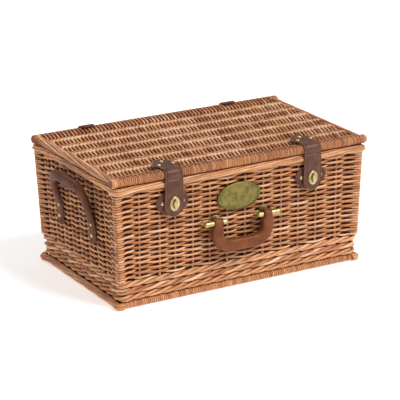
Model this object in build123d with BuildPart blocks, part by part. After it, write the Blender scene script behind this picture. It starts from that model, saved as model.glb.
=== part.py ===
"""Wicker picnic basket: a willow body and hinged lid, with leather straps, handles and brass fittings.

Units are millimetres. The origin is on the floor plane, midway along the length and midway between
the front and back of the lid. +X is to the right as seen from the front, +Y to the back, +Z up.
"""

import os
from math import cos, radians, sin

from build123d import *

os.makedirs("parts", exist_ok=True)

# ---- driving dimensions -------------------------------------------------------------------
LID_LENGTH = 466
LID_DEPTH = 283
RIM_DIA = 15
STAKE_DIA = 4
LID_STICK_DIA = 7
BASE_STICK_DIA = 6
RAIL_DIA = 12

RAIL_TOP = RAIL_DIA
WALE_TOP = 42
WALL_TOP = 185
BORDER_TOP = 201
LID_GAP = 0.5
RIM_Z = BORDER_TOP + LID_GAP + RIM_DIA / 2
LID_TOP = RIM_Z + RIM_DIA / 2

WALL_THICKNESS = 11
WALL_FRONT_Y = -136
WALL_BACK_Y_TOP = 140.5
WALL_BACK_Y_FLOOR = 130
WALL_HALF_X_TOP = 228
WALL_HALF_X_FLOOR = 220.5

BORDER_HALF_X = 229.5
BORDER_HALF_Y = 141.5
BORDER_WIDTH = 16.5

BASE_HALF_X = 225
BASE_ROPE_WIDTH = 12
BASE_CORNER = 8
BASE_FRONT_Y = -137
BASE_BACK_Y = 133

FRONT_STAKE_X = [-184, -148, -120, -88, -57, -25, 8, 42, 76, 109, 143, 182]
BACK_STAKE_COUNT = 12
SIDE_STAKE_COUNT = 8
LID_STICK_COUNT = 6
BASE_STICK_COUNT = 6

CLASP_X = 128
CLASP_Z = 162.5
STRAP_THICKNESS = 2.4
STRAP_HALF_WIDTH = 15.8
STRAP_END_HALF_WIDTH = 17.2
STRAP_BOTTOM_Z = 142
STRAP_FOLD_Z = 202.5
STRAP_FOLD_GAP = 2

EYELET_HALF_SIZE = (8.6, 12)
EYELET_SLOT_HALF_SIZE = (3.9, 7.9)
KNOB_HALF_SIZE = (3.1, 6.8)
SPINDLE_DIA = 4.4
SPINDLE_CLEARANCE = 0.05

HINGE_X = 136
HINGE_HALF_WIDTH = 13
HINGE_THICKNESS = 2.4
HINGE_TOP_END_Y = 127

HANDLE_X = -7
HANDLE_ARM_X = 46.5
HANDLE_PIVOT_Y = -148
HANDLE_PIVOT_Z = 118.5
HANDLE_SECTION = (20, 15.5)
HANDLE_GRIP_Z = 77.5
HANDLE_CORNER_RADIUS = 24
HANDLE_PIN_DIA = 4
NECK_X = HANDLE_ARM_X - 1.5
NECK_HALF = 7.5
KNUCKLE_DIA = 8.6
KNUCKLE_GAP = 0.4
OUTER_KNUCKLE_LENGTH = 17
INNER_KNUCKLE_LENGTH = 9
BRACKET_THICKNESS = 1.5
BRACKET_TAB_SIZE = (13, 19)
BRACKET_RIVET_RISE = 5.2

PLATE_HALF_SIZE = (40, 23)
PLATE_Z = 153

SIDE_HANDLE_Y = 56
SIDE_HANDLE_WIDTH = 23
SIDE_HANDLE_BOTTOM_Z = 88
SIDE_HANDLE_FOLD_Z = 128
SIDE_HANDLE_HEIGHT = 62
SIDE_HANDLE_THICKNESS = 8
SIDE_HANDLE_TILT = 14

RIVET_SHANK_DIA = 2.6
RIVET_HEAD_DIA = 7
RIVET_HEAD_HEIGHT = 1.8
TAB_RIVET_OFFSET = 18
TAB_RIVET_GRIP = 3


# ---- shared geometry ----------------------------------------------------------------------
def half_x(z):
    """Half the body's outer length at height z: the ends lean out a little towards the top."""
    return WALL_HALF_X_FLOOR + (WALL_HALF_X_TOP - WALL_HALF_X_FLOOR) * z / WALL_TOP


def back_y(z):
    """The outer face of the back wall at height z."""
    return WALL_BACK_Y_FLOOR + (WALL_BACK_Y_TOP - WALL_BACK_Y_FLOOR) * z / WALL_TOP


def save(piece, name):
    """Label a finished sub-part and write it to its own STEP file."""
    piece.part.label = name
    export_step(piece.part, f"parts/{name}.step")


def ring_sketch(z, grow, corner):
    """A rounded rectangle round the body's outer face at height z, grown or shrunk by grow."""
    depth = back_y(z) - WALL_FRONT_Y
    centre_y = (back_y(z) + WALL_FRONT_Y) / 2
    with BuildSketch(Plane.XY.offset(z)) as outline:
        with Locations((0, centre_y)):
            RectangleRounded(2 * (half_x(z) + grow), depth + 2 * grow, corner)
    return outline.sketch


def leaning_block(low_corners, low_z, high_corners, high_z):
    """A solid with flat faces between two matching outlines, one at each height."""
    low = [Vector(x, y, low_z) for x, y in low_corners]
    high = [Vector(x, y, high_z) for x, y in high_corners]
    faces = [Face(Wire.make_polygon(low)), Face(Wire.make_polygon(high))]
    for index in range(len(low)):
        after = (index + 1) % len(low)
        faces.append(Face(Wire.make_polygon([low[index], low[after], high[after], high[index]])))
    return Solid(Shell(faces))


def stake_ends(kind, index):
    """The bottom and top points of one upright stake, on the middle plane of its wall."""
    ends = []
    for z in (RAIL_TOP + 0.3, WALL_TOP - 0.3):
        side_x = half_x(z) - WALL_THICKNESS / 2
        rear_y = back_y(z) - WALL_THICKNESS / 2
        front_y = WALL_FRONT_Y + WALL_THICKNESS / 2
        if kind == "front":
            ends.append(Vector(FRONT_STAKE_X[index], front_y, z))
        elif kind == "back":
            share = 2 * (index + 1) / (BACK_STAKE_COUNT + 1) - 1
            ends.append(Vector(share * side_x, rear_y, z))
        else:
            share = (index + 1) / (SIDE_STAKE_COUNT + 1)
            sign = -1 if kind == "left" else 1
            ends.append(Vector(sign * side_x, front_y + share * (rear_y - front_y), z))
    return ends


STAKE_COUNTS = {
    "front": len(FRONT_STAKE_X),
    "back": BACK_STAKE_COUNT,
    "left": SIDE_STAKE_COUNT,
    "right": SIDE_STAKE_COUNT,
}


def add_stakes(kind, mode=Mode.ADD):
    """The round stakes of one wall, or with Mode.SUBTRACT the channels that hold them."""
    for index in range(STAKE_COUNTS[kind]):
        bottom, top = stake_ends(kind, index)
        with BuildSketch(Plane(origin=bottom, z_dir=top - bottom)) as section:
            Circle(STAKE_DIA / 2)
        extrude(section.sketch, amount=(top - bottom).length, mode=mode)


def add_rivets(places, direction, depth):
    """Domed rivets: each head sits on its place, with a shank of the given depth behind it."""
    for place in places:
        base = Plane(origin=place, z_dir=direction)
        with BuildSketch(base) as head:
            Circle(RIVET_HEAD_DIA / 2)
        extrude(head.sketch, amount=RIVET_HEAD_HEIGHT)
        with BuildSketch(base) as shank:
            Circle(RIVET_SHANK_DIA / 2)
        extrude(shank.sketch, amount=-depth)


def cut_shanks(places, direction, depth):
    """The holes for those rivets' shanks."""
    for place in places:
        with BuildSketch(Plane(origin=place, z_dir=direction)) as shank:
            Circle(RIVET_SHANK_DIA / 2)
        extrude(shank.sketch, amount=-depth, mode=Mode.SUBTRACT)


# ---- rivet places -------------------------------------------------------------------------
LEATHER_ON_WALL_Y = WALL_FRONT_Y - STRAP_THICKNESS
STRAP_TOP_Z = LID_TOP + STRAP_THICKNESS
HINGE_BACK_Y = LID_DEPTH / 2 + HINGE_THICKNESS
LID_WEAVE_Z = (LID_TOP - RIM_DIA + 0.5, LID_TOP - 0.3)

STRAP_RIVET_PLACES = ((-12.5, -117), (12.5, -117), (0, -102.5))
tab_rivets = [
    Vector(side * CLASP_X + dx, LEATHER_ON_WALL_Y, CLASP_Z + 1)
    for side in (-1, 1)
    for dx in (-TAB_RIVET_OFFSET, TAB_RIVET_OFFSET)
]
strap_rivets = [
    Vector(side * CLASP_X + dx, y, STRAP_TOP_Z) for side in (-1, 1) for dx, y in STRAP_RIVET_PLACES
]
hinge_upper_rivets = [Vector(side * HINGE_X + dx, HINGE_BACK_Y, RIM_Z) for side in (-1, 1) for dx in (-6, 6)]
hinge_lower_rivets = [
    Vector(side * HINGE_X, back_y(z) + HINGE_THICKNESS + 0.5, z) for side in (-1, 1) for z in (158, 174)
]
bracket_rivets = [
    Vector(HANDLE_X + side * NECK_X, WALL_FRONT_Y - BRACKET_THICKNESS, HANDLE_PIVOT_Z + dz)
    for side in (-1, 1)
    for dz in (-BRACKET_RIVET_RISE, BRACKET_RIVET_RISE)
]
SIDE_RIVET_Z = (101, 120)


def side_rivets(side):
    """The two rivets through each end of one side handle."""
    leg_places = (-SIDE_HANDLE_Y, SIDE_HANDLE_Y)
    return [Vector(side * (half_x(z) + 3.35), y, z) for y in leg_places for z in SIDE_RIVET_Z]


# ---- base ---------------------------------------------------------------------------------
rail_length = 2 * (BASE_HALF_X - BASE_ROPE_WIDTH)
for rail_name, rail_y in (
    ("base_front_rail", BASE_FRONT_Y + RAIL_DIA / 2),
    ("base_back_rail", BASE_BACK_Y - RAIL_DIA / 2),
):
    with BuildPart() as base_rail:
        with BuildSketch(Plane(origin=(-rail_length / 2, rail_y, RAIL_DIA / 2), z_dir=(1, 0, 0))):
            Circle(RAIL_DIA / 2)
        extrude(amount=rail_length)
    save(base_rail, rail_name)

with BuildPart() as base_end_ropes:
    with BuildSketch():
        with Locations((0, (BASE_FRONT_Y + BASE_BACK_Y) / 2)):
            RectangleRounded(2 * BASE_HALF_X, BASE_BACK_Y - BASE_FRONT_Y, BASE_CORNER)
            Rectangle(rail_length, BASE_BACK_Y - BASE_FRONT_Y, mode=Mode.SUBTRACT)
    extrude(amount=RAIL_DIA)
    top_outer_edges = base_end_ropes.edges().filter_by(Axis.Y).group_by(Axis.Z)[-1]
    fillet([edge for edge in top_outer_edges if abs(edge.center().X) > BASE_HALF_X - 1], 4)
save(base_end_ropes, "base_end_ropes")

base_inner_front = BASE_FRONT_Y + RAIL_DIA
base_inner_back = BASE_BACK_Y - RAIL_DIA
base_pitch = (base_inner_back - base_inner_front) / (BASE_STICK_COUNT + 1)
base_stick_plane = Plane(origin=(-rail_length / 2, 0, RAIL_DIA / 2), x_dir=(0, 1, 0), z_dir=(1, 0, 0))
base_stick_places = [(base_inner_front + base_pitch * (n + 1), 0) for n in range(BASE_STICK_COUNT)]

with BuildPart() as base_sticks:
    with BuildSketch(base_stick_plane):
        with Locations(*base_stick_places):
            Circle(BASE_STICK_DIA / 2)
    extrude(amount=rail_length)
save(base_sticks, "base_sticks")

with BuildPart() as base_weave:
    with BuildSketch():
        with Locations((0, (base_inner_front + base_inner_back) / 2)):
            Rectangle(rail_length, base_inner_back - base_inner_front)
    extrude(amount=RAIL_DIA - 0.6)
    with BuildSketch(base_stick_plane):
        with Locations(*base_stick_places):
            Circle(BASE_STICK_DIA / 2)
    extrude(amount=rail_length, mode=Mode.SUBTRACT)
save(base_weave, "base_weave")

# ---- body walls ---------------------------------------------------------------------------
for wall_name in STAKE_COUNTS:
    with BuildPart() as stakes:
        add_stakes(wall_name)
    save(stakes, f"{wall_name}_stakes")

with BuildPart() as bottom_wale:
    loft([ring_sketch(level, 1, 9) for level in (RAIL_TOP, WALE_TOP)])
    loft([ring_sketch(level, -WALL_THICKNESS, 3) for level in (RAIL_TOP, WALE_TOP)], mode=Mode.SUBTRACT)
    for wall_name in STAKE_COUNTS:
        add_stakes(wall_name, Mode.SUBTRACT)
save(bottom_wale, "bottom_wale")


def slab_corners(kind, z):
    """The four corners of one wall's woven slab at height z, between the corner posts."""
    outer_x = half_x(z)
    inner_x = outer_x - WALL_THICKNESS
    front_inner = WALL_FRONT_Y + WALL_THICKNESS
    back_inner = back_y(z) - WALL_THICKNESS
    if kind == "front":
        low, high = (-inner_x, WALL_FRONT_Y), (inner_x, front_inner)
    elif kind == "back":
        low, high = (-inner_x, back_inner), (inner_x, back_y(z))
    elif kind == "left":
        low, high = (-outer_x, front_inner), (-inner_x, back_inner)
    else:
        low, high = (inner_x, front_inner), (outer_x, back_inner)
    return [low, (high[0], low[1]), high, (low[0], high[1])]


for wall_name in STAKE_COUNTS:
    with BuildPart() as wall_weave:
        low_outline = slab_corners(wall_name, WALE_TOP)
        high_outline = slab_corners(wall_name, WALL_TOP)
        add(leaning_block(low_outline, WALE_TOP, high_outline, WALL_TOP))
        add_stakes(wall_name, Mode.SUBTRACT)
        if wall_name == "front":
            cut_shanks(tab_rivets, (0, -1, 0), TAB_RIVET_GRIP + STRAP_THICKNESS)
            cut_shanks(bracket_rivets, (0, -1, 0), WALL_THICKNESS + BRACKET_THICKNESS)
        elif wall_name == "back":
            cut_shanks(hinge_lower_rivets, (0, 1, 0), WALL_THICKNESS + HINGE_THICKNESS + 1)
        else:
            side = -1 if wall_name == "left" else 1
            cut_shanks(side_rivets(side), (side, 0, 0), WALL_THICKNESS + 4)
    save(wall_weave, f"{wall_name}_weave")

def post_corners(side_x, at_back, z):
    """One corner post's outline at height z, with its weavers round it: a square with a blunt corner."""
    x_out = side_x * half_x(z)
    x_in = side_x * (half_x(z) - WALL_THICKNESS)
    inward = -1 if at_back else 1
    y_out = back_y(z) if at_back else WALL_FRONT_Y
    y_in = y_out + inward * WALL_THICKNESS
    blunt_x, blunt_y = x_out - side_x * 3, y_out + inward * 3
    return [(x_in, y_in), (x_out, y_in), (x_out, blunt_y), (blunt_x, y_out), (x_in, y_out)]


with BuildPart() as corner_posts:
    for side_x in (-1, 1):
        for at_back in (False, True):
            low_outline = post_corners(side_x, at_back, WALE_TOP)
            high_outline = post_corners(side_x, at_back, WALL_TOP)
            add(leaning_block(low_outline, WALE_TOP, high_outline, WALL_TOP))
save(corner_posts, "corner_posts")

with BuildPart() as top_border:
    with BuildSketch(Plane.XY.offset(WALL_TOP)):
        RectangleRounded(2 * BORDER_HALF_X, 2 * BORDER_HALF_Y, 13)
    extrude(amount=BORDER_TOP - WALL_TOP)
    fillet(top_border.faces().sort_by(Axis.Z)[-1].edges(), 5)
    fillet(top_border.faces().sort_by(Axis.Z)[0].edges(), 4)
    with BuildSketch(Plane.XY.offset(WALL_TOP)):
        RectangleRounded(2 * (BORDER_HALF_X - BORDER_WIDTH), 2 * (BORDER_HALF_Y - BORDER_WIDTH), 4)
    extrude(amount=BORDER_TOP - WALL_TOP, mode=Mode.SUBTRACT)
save(top_border, "top_border")

# ---- lid ----------------------------------------------------------------------------------
rim_y = LID_DEPTH / 2 - RIM_DIA / 2
for rim_name, rim_side in (("lid_front_rim", -1), ("lid_back_rim", 1)):
    with BuildPart() as lid_rim:
        with BuildSketch(Plane(origin=(-LID_LENGTH / 2, rim_side * rim_y, RIM_Z), z_dir=(1, 0, 0))):
            Circle(RIM_DIA / 2)
        extrude(amount=LID_LENGTH)
        chamfer(lid_rim.edges().filter_by(GeomType.CIRCLE), 0.8)
        if rim_side > 0:
            cut_shanks(hinge_upper_rivets, (0, 1, 0), RIM_DIA / 2 + HINGE_THICKNESS)
    save(lid_rim, rim_name)

LID_BAND_WIDTH = 10
LID_BAND_HALF_X = LID_LENGTH / 2 - 2
lid_inner_half_y = rim_y - RIM_DIA / 2
lid_inner_half_x = LID_BAND_HALF_X - LID_BAND_WIDTH
with BuildPart() as lid_end_bands:
    with BuildSketch(Plane.XY.offset(BORDER_TOP + LID_GAP)):
        with Locations(*[(s * (LID_BAND_HALF_X - LID_BAND_WIDTH / 2), 0) for s in (-1, 1)]):
            Rectangle(LID_BAND_WIDTH, 2 * lid_inner_half_y)
    extrude(amount=RIM_DIA - 0.5)
    band_edges = lid_end_bands.edges().filter_by(Axis.Y)
    fillet([edge for edge in band_edges if abs(edge.center().X) > LID_BAND_HALF_X - 1], 4)
save(lid_end_bands, "lid_end_bands")

lid_pitch = 2 * rim_y / (LID_STICK_COUNT + 1)
lid_stick_plane = Plane(origin=(-lid_inner_half_x, 0, RIM_Z), x_dir=(0, 1, 0), z_dir=(1, 0, 0))
lid_stick_places = [(-rim_y + lid_pitch * (n + 1), 0) for n in range(LID_STICK_COUNT)]
with BuildPart() as lid_sticks:
    with BuildSketch(lid_stick_plane):
        with Locations(*lid_stick_places):
            Circle(LID_STICK_DIA / 2)
    extrude(amount=2 * lid_inner_half_x)
save(lid_sticks, "lid_sticks")

with BuildPart() as lid_weave:
    with BuildSketch(Plane.XY.offset(LID_WEAVE_Z[0])):
        Rectangle(2 * lid_inner_half_x, 2 * lid_inner_half_y)
    extrude(amount=LID_WEAVE_Z[1] - LID_WEAVE_Z[0])
    with BuildSketch(lid_stick_plane):
        with Locations(*lid_stick_places):
            Circle(LID_STICK_DIA / 2)
    extrude(amount=2 * lid_inner_half_x, mode=Mode.SUBTRACT)
    cut_shanks(strap_rivets, (0, 0, 1), RIM_DIA + STRAP_THICKNESS)
save(lid_weave, "lid_weave")


# ---- straps, clasps and hinges ------------------------------------------------------------
def wrap_profile(centre_x, side_y, thickness, flat_end_y, drop_z):
    """A leather strip's side view: flat on the lid, then round the rim and down to drop_z."""
    inner = RIM_DIA / 2
    outer = inner + thickness
    centre_y = side_y * rim_y
    face_y = side_y * (rim_y + inner)
    out_y = side_y * (rim_y + outer)
    with BuildSketch(Plane(origin=(centre_x, 0, 0), x_dir=(0, 1, 0), z_dir=(1, 0, 0))) as profile:
        with BuildLine():
            Line((flat_end_y, RIM_Z + inner), (centre_y, RIM_Z + inner))
            CenterArc((centre_y, RIM_Z), inner, 90, 90 * -side_y)
            Line((face_y, RIM_Z), (face_y, drop_z))
            Line((face_y, drop_z), (out_y, drop_z))
            Line((out_y, drop_z), (out_y, RIM_Z))
            CenterArc((centre_y, RIM_Z), outer, 90, 90 * -side_y)
            Line((centre_y, RIM_Z + outer), (flat_end_y, RIM_Z + outer))
            Line((flat_end_y, RIM_Z + outer), (flat_end_y, RIM_Z + inner))
        make_face()
    return profile.sketch


STRAP_TOP_END_Y = -89
for side_name, side in (("left", -1), ("right", 1)):
    centre_x = side * CLASP_X
    with BuildPart() as strap_top:
        wrap = wrap_profile(centre_x, -1, STRAP_THICKNESS, STRAP_TOP_END_Y, STRAP_FOLD_Z + STRAP_FOLD_GAP)
        extrude(wrap, amount=22, both=True)
        with BuildSketch():
            with Locations((centre_x, 0)):
                Polygon(
                    (-STRAP_HALF_WIDTH, -150), (STRAP_HALF_WIDTH, -150), (STRAP_HALF_WIDTH, -124),
                    (21.5, -116), (19, -107), (6, STRAP_TOP_END_Y),
                    (-6, STRAP_TOP_END_Y), (-19, -107), (-21.5, -116), (-STRAP_HALF_WIDTH, -124),
                    align=None,
                )
        extrude(amount=LID_TOP + 10, mode=Mode.INTERSECT)
        cut_shanks([r for r in strap_rivets if r.X * side > 0], (0, 0, 1), 20)
    save(strap_top, f"{side_name}_strap_top")

STRAP_BACK_Y = -BORDER_HALF_Y - 0.3
STRAP_FRONT_Y = STRAP_BACK_Y - STRAP_THICKNESS
for side_name, side in (("left", -1), ("right", 1)):
    centre_x = side * CLASP_X
    clasp_face = Plane(origin=(centre_x, STRAP_BACK_Y, CLASP_Z), x_dir=(1, 0, 0), z_dir=(0, -1, 0))
    strap_top_v = STRAP_FOLD_Z - STRAP_FOLD_GAP - CLASP_Z
    strap_bottom_v = STRAP_BOTTOM_Z - CLASP_Z
    with BuildPart() as strap:
        with BuildSketch(clasp_face):
            with BuildLine():
                Line((-STRAP_HALF_WIDTH, strap_top_v), (STRAP_HALF_WIDTH, strap_top_v))
                Line((STRAP_HALF_WIDTH, strap_top_v), (STRAP_END_HALF_WIDTH, -4))
                ThreePointArc(
                    (STRAP_END_HALF_WIDTH, -4),
                    (0, strap_bottom_v),
                    (-STRAP_END_HALF_WIDTH, -4),
                )
                Line((-STRAP_END_HALF_WIDTH, -4), (-STRAP_HALF_WIDTH, strap_top_v))
            make_face()
            Ellipse(EYELET_SLOT_HALF_SIZE[0] + 1, EYELET_SLOT_HALF_SIZE[1] + 1, mode=Mode.SUBTRACT)
        extrude(amount=STRAP_THICKNESS)
    save(strap, f"{side_name}_strap")

    with BuildPart() as eyelet:
        with BuildSketch(clasp_face.offset(STRAP_THICKNESS)):
            Ellipse(*EYELET_HALF_SIZE)
        extrude(amount=1.5)
        fillet(eyelet.faces().sort_by(Axis.Y)[0].edges(), 1)
        with BuildSketch(clasp_face.offset(-0.5)):
            Ellipse(EYELET_HALF_SIZE[0] - 1, EYELET_HALF_SIZE[1] - 1)
        extrude(amount=0.5)
        with BuildSketch(clasp_face):
            Ellipse(EYELET_SLOT_HALF_SIZE[0] + 1, EYELET_SLOT_HALF_SIZE[1] + 1)
        extrude(amount=STRAP_THICKNESS)
        with BuildSketch(clasp_face.offset(-0.5)):
            Ellipse(*EYELET_SLOT_HALF_SIZE)
        extrude(amount=STRAP_THICKNESS + 2, mode=Mode.SUBTRACT)
    save(eyelet, f"{side_name}_eyelet")

    tab_face = Plane(origin=(centre_x, WALL_FRONT_Y, CLASP_Z + 1), x_dir=(1, 0, 0), z_dir=(0, -1, 0))
    with BuildPart() as lock_tab:
        with BuildSketch(tab_face):
            Polygon(
                (-29, 5), (-29, -5), (-17, -18), (-9, -20.5), (9, -20.5), (17, -18),
                (29, -5), (29, 5), (19, 15), (9, 18), (-9, 18), (-19, 15),
                align=None,
            )
        extrude(amount=STRAP_THICKNESS)
        fillet(lock_tab.edges().filter_by(Axis.Y), 3)
        cut_shanks([r for r in tab_rivets if r.X * side > 0], (0, -1, 0), STRAP_THICKNESS)
    save(lock_tab, f"{side_name}_lock_tab")

    lock_face = Plane(origin=(centre_x, LEATHER_ON_WALL_Y, CLASP_Z), x_dir=(1, 0, 0), z_dir=(0, -1, 0))
    with BuildPart() as lock_plate:
        with BuildSketch(lock_face):
            Ellipse(9, 12)
        extrude(amount=1)
        with BuildSketch(lock_face):
            Circle(3.3)
        extrude(amount=3)
        with BuildSketch(lock_face):
            Circle(SPINDLE_DIA / 2 + SPINDLE_CLEARANCE)
        extrude(amount=3, mode=Mode.SUBTRACT)
    save(lock_plate, f"{side_name}_lock_plate")

    knob_root_y = STRAP_FRONT_Y - 2.2
    knob_face = Plane(origin=(centre_x, knob_root_y, CLASP_Z), x_dir=(1, 0, 0), z_dir=(0, -1, 0))
    with BuildPart() as knob:
        with BuildSketch(knob_face):
            Ellipse(*KNOB_HALF_SIZE)
        extrude(amount=3.4)
        fillet(knob.faces().sort_by(Axis.Y)[0].edges(), 1.2)
        with BuildSketch(knob_face):
            Circle(SPINDLE_DIA / 2)
        extrude(amount=-(LEATHER_ON_WALL_Y - knob_root_y - 0.3))
    save(knob, f"{side_name}_knob")

    with BuildPart() as hinge_upper:
        wrap = wrap_profile(side * HINGE_X, 1, HINGE_THICKNESS, HINGE_TOP_END_Y, BORDER_TOP + 2)
        extrude(wrap, amount=HINGE_HALF_WIDTH, both=True)
        upper_corners = hinge_upper.edges().filter_by(Axis.Z).group_by(Axis.Y)[0]
        fillet(upper_corners, 5)
        cut_shanks([r for r in hinge_upper_rivets if r.X * side > 0], (0, 1, 0), 8)
    save(hinge_upper, f"{side_name}_hinge_upper")

    with BuildPart() as hinge_lower:
        with BuildSketch(Plane(origin=(side * HINGE_X, 0, 0), x_dir=(0, 1, 0), z_dir=(1, 0, 0))):
            face_top = BORDER_HALF_Y
            face_low = back_y(150) + 0.2
            face_rivet = back_y(178) + 0.2
            with BuildLine():
                Polyline(
                    (face_low, 150),
                    (face_rivet, 178),
                    (face_top, WALL_TOP + 2),
                    (face_top, BORDER_TOP - 1.2),
                    (face_top + HINGE_THICKNESS, BORDER_TOP - 1.2),
                    (face_top + HINGE_THICKNESS, WALL_TOP + 1.4),
                    (face_rivet + HINGE_THICKNESS, 177.4),
                    (face_low + HINGE_THICKNESS, 150),
                    close=True,
                )
            make_face()
        extrude(amount=HINGE_HALF_WIDTH, both=True)
        cut_shanks([r for r in hinge_lower_rivets if r.X * side > 0], (0, 1, 0), 8)
    save(hinge_lower, f"{side_name}_hinge_lower")

for rivet_name, places, direction, depth in (
    ("strap_rivets", strap_rivets, (0, 0, 1), LID_TOP - LID_WEAVE_Z[0] + STRAP_THICKNESS),
    ("hinge_upper_rivets", hinge_upper_rivets, (0, 1, 0), RIM_DIA / 2 + HINGE_THICKNESS),
    ("hinge_lower_rivets", hinge_lower_rivets, (0, 1, 0), HINGE_THICKNESS + 0.3 + WALL_THICKNESS),
    ("lock_tab_rivets", tab_rivets, (0, -1, 0), STRAP_THICKNESS + TAB_RIVET_GRIP),
    ("bracket_rivets", bracket_rivets, (0, -1, 0), BRACKET_THICKNESS + WALL_THICKNESS),
    ("side_handle_rivets", side_rivets(-1), (-1, 0, 0), 3.2 + WALL_THICKNESS),
):
    with BuildPart() as rivets:
        add_rivets(places, direction, depth)
        if rivet_name == "side_handle_rivets":
            add_rivets(side_rivets(1), (1, 0, 0), depth)
    save(rivets, rivet_name)

# ---- nameplate ----------------------------------------------------------------------------
plate_face = Plane(origin=(HANDLE_X, WALL_FRONT_Y, PLATE_Z), x_dir=(1, 0, 0), z_dir=(0, -1, 0))
with BuildPart() as nameplate:
    with BuildSketch(plate_face):
        Ellipse(*PLATE_HALF_SIZE)
    with BuildSketch(plate_face.offset(1.4)):
        Ellipse(*PLATE_HALF_SIZE)
    with BuildSketch(plate_face.offset(2.8)):
        Ellipse(PLATE_HALF_SIZE[0] - 3, PLATE_HALF_SIZE[1] - 3)
    loft(ruled=True)
    with BuildSketch(plate_face.offset(2.4)):
        Ellipse(PLATE_HALF_SIZE[0] - 5.2, PLATE_HALF_SIZE[1] - 5.2)
        Ellipse(PLATE_HALF_SIZE[0] - 6.2, PLATE_HALF_SIZE[1] - 6.2, mode=Mode.SUBTRACT)
    extrude(amount=1, mode=Mode.SUBTRACT)
save(nameplate, "nameplate")

# ---- front handle -------------------------------------------------------------------------
arm_half = HANDLE_SECTION[0] / 2
handle_face = Plane(origin=(HANDLE_X, HANDLE_PIVOT_Y, 0), x_dir=(1, 0, 0), z_dir=(0, -1, 0))
NECK_RADIUS = HANDLE_SECTION[1] / 2
with BuildPart() as front_handle:
    with BuildSketch(handle_face):
        outer_x = HANDLE_ARM_X + arm_half
        inner_x = HANDLE_ARM_X - arm_half
        grip_low = HANDLE_GRIP_Z - arm_half + 1
        grip_high = HANDLE_GRIP_Z + arm_half - 1
        shoulder_z = HANDLE_PIVOT_Z - 6
        with BuildLine():
            FilletPolyline(
                (-outer_x, shoulder_z),
                (-outer_x, grip_low),
                (outer_x, grip_low),
                (outer_x, shoulder_z),
                radius=HANDLE_CORNER_RADIUS + 9,
            )
            Line((outer_x, shoulder_z), (inner_x, shoulder_z))
            FilletPolyline(
                (inner_x, shoulder_z),
                (inner_x, grip_high),
                (-inner_x, grip_high),
                (-inner_x, shoulder_z),
                radius=HANDLE_CORNER_RADIUS - 10,
            )
            Line((-inner_x, shoulder_z), (-outer_x, shoulder_z))
        make_face()
    extrude(amount=HANDLE_SECTION[1] / 2, both=True)
    below_shoulder = [edge for edge in front_handle.edges() if edge.center().Z < shoulder_z - 0.1]
    face_distance = HANDLE_SECTION[1] / 2 - 0.1
    fillet([e for e in below_shoulder if abs(e.center().Y - HANDLE_PIVOT_Y) > face_distance], 5.5)
    for arm_side in (-1, 1):
        neck = (HANDLE_X + arm_side * NECK_X, HANDLE_PIVOT_Y, HANDLE_PIVOT_Z)
        with BuildSketch(Plane(origin=neck, x_dir=(0, 1, 0), z_dir=(1, 0, 0))):
            Circle(NECK_RADIUS)
            with Locations((0, -5)):
                Rectangle(2 * NECK_RADIUS - 3, 10)
        extrude(amount=NECK_HALF, both=True)
        with BuildSketch(Plane(origin=neck, z_dir=(1, 0, 0))):
            Circle(HANDLE_PIN_DIA / 2 + SPINDLE_CLEARANCE)
        extrude(amount=20, both=True, mode=Mode.SUBTRACT)
save(front_handle, "front_handle")

outer_start = NECK_X + NECK_HALF + KNUCKLE_GAP
inner_start = NECK_X - NECK_HALF - KNUCKLE_GAP - INNER_KNUCKLE_LENGTH
outer_end = outer_start + OUTER_KNUCKLE_LENGTH
inner_end = inner_start + INNER_KNUCKLE_LENGTH
pin_start = inner_start + 2
pin_length = 2 * NECK_HALF + INNER_KNUCKLE_LENGTH + 8


def across(side, distance):
    """A plane square to the handle's pivot axis, this far out from the handle's middle."""
    origin = (HANDLE_X + side * distance, HANDLE_PIVOT_Y, HANDLE_PIVOT_Z)
    return Plane(origin=origin, x_dir=(0, side, 0), z_dir=(side, 0, 0))


for side_name, side in (("left", -1), ("right", 1)):
    foot_reach = WALL_FRONT_Y - HANDLE_PIVOT_Y - BRACKET_THICKNESS / 2
    with BuildPart() as bracket:
        for start, length in ((outer_start, OUTER_KNUCKLE_LENGTH), (inner_start, INNER_KNUCKLE_LENGTH)):
            with BuildSketch(across(side, start)):
                Circle(KNUCKLE_DIA / 2)
            extrude(amount=length)
        far_ends = bracket.edges().filter_by(GeomType.CIRCLE).sort_by(Axis.X)
        fillet([far_ends[0], far_ends[-1]], 3)
        feet = (outer_start, OUTER_KNUCKLE_LENGTH - 3.5), (inner_start + 3.5, INNER_KNUCKLE_LENGTH - 3.5)
        for start, length in feet:
            with BuildSketch(across(side, start)):
                with Locations((side * foot_reach / 2, 0)):
                    Rectangle(foot_reach, 5)
            extrude(amount=length)
        strip_middle = HANDLE_X + side * (outer_end + inner_start) / 2
        wall_face = Plane(origin=(0, WALL_FRONT_Y, HANDLE_PIVOT_Z), x_dir=(1, 0, 0), z_dir=(0, -1, 0))
        with BuildSketch(wall_face):
            with Locations((strip_middle, 0)):
                RectangleRounded(outer_end - inner_start - 4, 7, 2)
            with Locations((HANDLE_X + side * NECK_X, 0)):
                RectangleRounded(*BRACKET_TAB_SIZE, 4)
        extrude(amount=BRACKET_THICKNESS)
        with BuildSketch(across(side, pin_start)):
            Circle(HANDLE_PIN_DIA / 2)
        extrude(amount=pin_length, mode=Mode.SUBTRACT)
        cut_shanks([r for r in bracket_rivets if (r.X - HANDLE_X) * side > 0], (0, -1, 0), 3)
    save(bracket, f"{side_name}_handle_bracket")

with BuildPart() as handle_pins:
    for side in (-1, 1):
        with BuildSketch(across(side, pin_start)):
            Circle(HANDLE_PIN_DIA / 2)
        extrude(amount=pin_length)
save(handle_pins, "handle_pins")

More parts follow.
